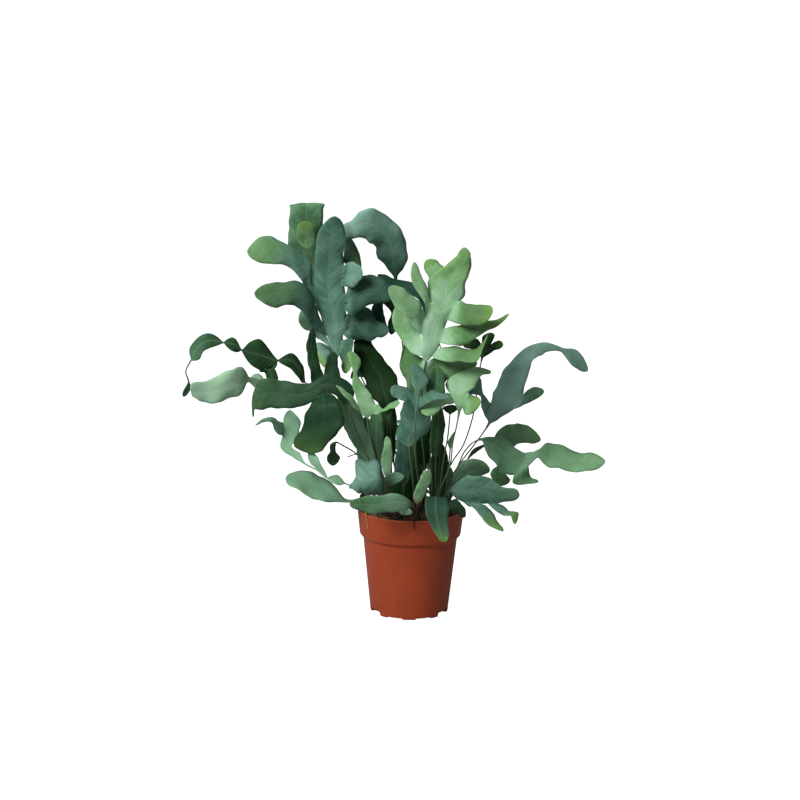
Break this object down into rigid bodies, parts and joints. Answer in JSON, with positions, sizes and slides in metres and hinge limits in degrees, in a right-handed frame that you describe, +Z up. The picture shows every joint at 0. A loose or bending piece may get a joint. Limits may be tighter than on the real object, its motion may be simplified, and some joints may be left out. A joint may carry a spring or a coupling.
{
  "type": "potted plant",
  "caption": "Blue star fern with long lobed fronds on bare stalks, growing in soil in a tapered terracotta-coloured plastic nursery pot.",
  "frame": {"origin": "centre of the pot's underside, on the surface that the pot stands on", "axes": "+Z up along the pot's axis, -Y towards the side that the picture shows, +X to the right in the picture"},
  "size_m": [0.4639, 0.3179, 0.4536],
  "materials": {
    "terracotta_plastic": "satin",
    "peat": "matte",
    "rhizome": "matte",
    "root": "matte",
    "leaf_blue": "satin",
    "leaf_green": "satin",
    "leaf_fresh": "satin",
    "leaf_deep": "satin"
  },
  "bodies": {
    "root": {"far_a": "leaf_green", "far_b": "leaf_blue", "far_c": "leaf_green", "far_d": "leaf_blue", "far_e": "leaf_deep", "far_f": "leaf_fresh", "far_g": "leaf_blue", "frond_arch": "leaf_blue", "frond_between": "leaf_blue", "frond_bright": "leaf_fresh", "frond_chain": "leaf_deep", "frond_crown": "leaf_blue", "frond_curled": "leaf_green", "frond_dangling": "leaf_deep", "frond_dark_left": "leaf_green", "frond_dark_middle": "leaf_deep", "frond_far_right": "leaf_green", "frond_fold_front": "leaf_blue", "frond_folded": "leaf_green", "frond_hollow": "leaf_deep", "frond_light": "leaf_fresh", "frond_low_front": "leaf_green", "frond_low_left": "leaf_green", "frond_low_right": "leaf_blue", "frond_over_rim": "leaf_blue", "frond_pale": "leaf_fresh", "frond_pale_middle": "leaf_fresh", "frond_right": "leaf_blue", "frond_rounded": "leaf_fresh", "frond_shaded": "leaf_deep", "frond_teal": "leaf_blue", "frond_teal_low": "leaf_blue", "pot": "terracotta_plastic", "rhizome": "rhizome", "root_front": "root", "root_left": "root", "soil": "peat", "young_bright_tip": "leaf_fresh", "young_dark_low": "leaf_deep", "young_dark_rim": "leaf_deep", "young_olive": "leaf_fresh", "young_olive_low": "leaf_green", "young_pale_narrow": "leaf_fresh", "young_right_a": "leaf_green", "young_right_b": "leaf_deep", "young_rim": "leaf_green", "young_rim_right": "leaf_green", "young_shaded": "leaf_deep", "young_teal_left": "leaf_blue", "young_upright_a": "leaf_green", "young_upright_b": "leaf_deep", "young_upright_c": "leaf_blue", "young_upright_d": "leaf_deep", "young_upright_e": "leaf_deep", "young_upright_f": "leaf_deep", "young_upright_g": "leaf_deep", "young_upright_h": "leaf_green", "young_upright_i": "leaf_deep"}
  },
  "joints": []
}
